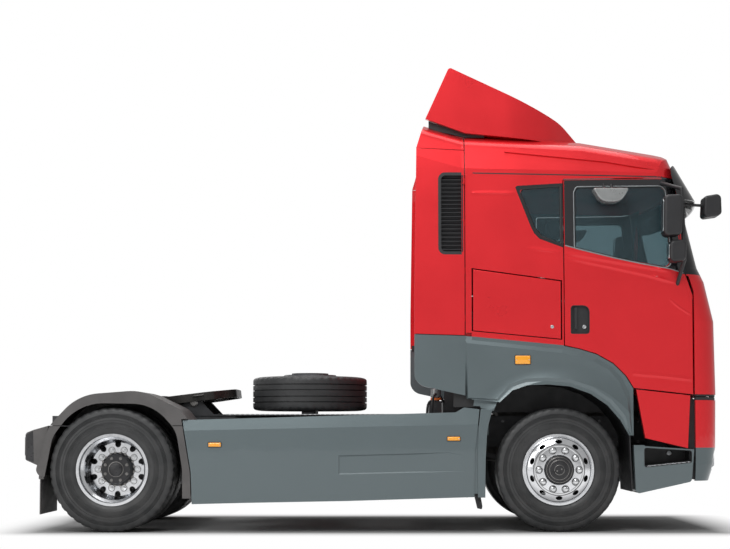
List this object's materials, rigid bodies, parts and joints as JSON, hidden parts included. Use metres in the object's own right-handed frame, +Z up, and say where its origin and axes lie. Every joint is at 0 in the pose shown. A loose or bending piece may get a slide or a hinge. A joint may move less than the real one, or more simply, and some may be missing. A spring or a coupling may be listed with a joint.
{
  "type": "tractor unit",
  "caption": "Cab-over road tractor with a tilting sleeper cab, hinged doors and locker doors, steered front wheels, twin rear wheels, a tilting coupling plate, side skirts and roof spoiler.",
  "frame": {"origin": "on the ground, on the centre plane, under the middle of the overall length", "axes": "+X forward, +Y to the left-hand side, +Z up"},
  "size_m": [5.8646, 2.95, 3.9185],
  "materials": {
    "cab_paint": "gloss metallic",
    "grey_paint": "gloss metallic",
    "mudguard_plastic": "satin",
    "black_plastic": "satin",
    "tinted_plastic": "gloss",
    "window_glass": "clear",
    "interior_plastic": "matte",
    "seat_cloth": "woven",
    "chassis_paint": "satin",
    "cast_steel": "rough",
    "aluminium": "brushed",
    "wheel_alloy": "polished",
    "tyre_rubber": "matte",
    "lamp_red": "gloss",
    "lamp_clear": "gloss",
    "coupling_iron": "greased"
  },
  "bodies": {
    "chassis": {"frame_rails": "chassis_paint", "front_axle": "chassis_paint", "rear_axle": "chassis_paint", "suspension": "chassis_paint", "engine_block": "cast_steel", "drive_line": "cast_steel", "fuel_tanks": "aluminium", "side_boxes": "black_plastic", "deck": "aluminium", "spare_tyre": "tyre_rubber", "spare_carrier": "chassis_paint", "side_skirts": "grey_paint", "rear_mudguards": "mudguard_plastic", "rear_bar": "chassis_paint", "tail_lamps": "lamp_red", "front_bumper": "cab_paint", "headlamps": "lamp_clear", "entrance_steps": "grey_paint", "lower_side_panels": "cab_paint", "cab_fenders": "grey_paint", "arch_liners": "black_plastic", "coupling_base": "chassis_paint"},
    "cab": {"cab_rear_wall": "cab_paint", "cab_sides": "cab_paint", "cab_roof": "cab_paint", "cab_front": "cab_paint", "front_grille": "black_plastic", "cab_glass": "window_glass", "cab_floor": "black_plastic", "side_deflectors": "cab_paint", "deflector_grilles": "black_plastic", "roof_spoiler": "cab_paint", "sun_visor": "tinted_plastic", "front_mirror": "black_plastic", "dashboard": "interior_plastic", "seats": "seat_cloth", "bunk": "seat_cloth"},
    "door_right": {"door_right": "cab_paint", "door_glass_right": "window_glass", "door_fittings_right": "black_plastic"},
    "locker_right": {"locker_door_right": "cab_paint"},
    "steering_right": {"knuckle_right": "cast_steel"},
    "wheel_front_right": {"tyre_front_right": "tyre_rubber", "rim_front_right": "wheel_alloy"},
    "wheel_rear_right": {"tyres_rear_right": "tyre_rubber", "rims_rear_right": "wheel_alloy"},
    "door_left": {"door_left": "cab_paint", "door_glass_left": "window_glass", "door_fittings_left": "black_plastic"},
    "locker_left": {"locker_door_left": "cab_paint"},
    "steering_left": {"knuckle_left": "cast_steel"},
    "wheel_front_left": {"tyre_front_left": "tyre_rubber", "rim_front_left": "wheel_alloy"},
    "wheel_rear_left": {"tyres_rear_left": "tyre_rubber", "rims_rear_left": "wheel_alloy"},
    "fifth_wheel": {"fifth_wheel_plate": "coupling_iron"}
  },
  "joints": [
    {"name": "cab_tilt", "type": "hinge", "parent": "chassis", "child": "cab", "pos_m": [2.795, 0, 0.85], "axis": [0, 1, 0], "range_deg": [0, 60]},
    {"name": "door_right_hinge", "type": "hinge", "parent": "cab", "child": "door_right", "pos_m": [2.6, -1.233, 1.6], "axis": [0, 0, 1], "range_deg": [0, 75]},
    {"name": "door_left_hinge", "type": "hinge", "parent": "cab", "child": "door_left", "pos_m": [2.6, 1.233, 1.6], "axis": [0, 0, -1], "range_deg": [0, 75]},
    {"name": "steer_left", "type": "hinge", "parent": "chassis", "child": "steering_left", "pos_m": [1.5, 0.925, 0.515], "axis": [0, 0, 1], "range_deg": [-42, 42]},
    {"name": "steer_right", "type": "hinge", "parent": "chassis", "child": "steering_right", "pos_m": [1.5, -0.925, 0.515], "axis": [0, 0, 1], "range_deg": [-42, 42]},
    {"name": "roll_front_right", "type": "hinge", "parent": "steering_right", "child": "wheel_front_right", "pos_m": [1.5, -1.025, 0.515], "axis": [0, 1, 0], "continuous": true},
    {"name": "roll_front_left", "type": "hinge", "parent": "steering_left", "child": "wheel_front_left", "pos_m": [1.5, 1.025, 0.515], "axis": [0, 1, 0], "continuous": true},
    {"name": "roll_rear_right", "type": "hinge", "parent": "chassis", "child": "wheel_rear_right", "pos_m": [-2.2, -0.915, 0.515], "axis": [0, 1, 0], "continuous": true},
    {"name": "roll_rear_left", "type": "hinge", "parent": "chassis", "child": "wheel_rear_left", "pos_m": [-2.2, 0.915, 0.515], "axis": [0, 1, 0], "continuous": true},
    {"name": "fifth_wheel_tilt", "type": "hinge", "parent": "chassis", "child": "fifth_wheel", "pos_m": [-1.625, 0, 1.084], "axis": [0, 1, 0], "range_deg": [-3, 18]},
    {"name": "locker_right_hinge", "type": "hinge", "parent": "cab", "child": "locker_right", "pos_m": [1.03117, -1.234, 2.13856], "axis": [-0.9908, 0, 0.1351], "range_deg": [0, 80]},
    {"name": "locker_left_hinge", "type": "hinge", "parent": "cab", "child": "locker_left", "pos_m": [1.03117, 1.234, 2.13856], "axis": [0.9908, 0, -0.1351], "range_deg": [0, 80]}
  ],
  "couplings": [
    {"joint": "steer_right", "follows": "steer_left", "ratio": 1}
  ]
}
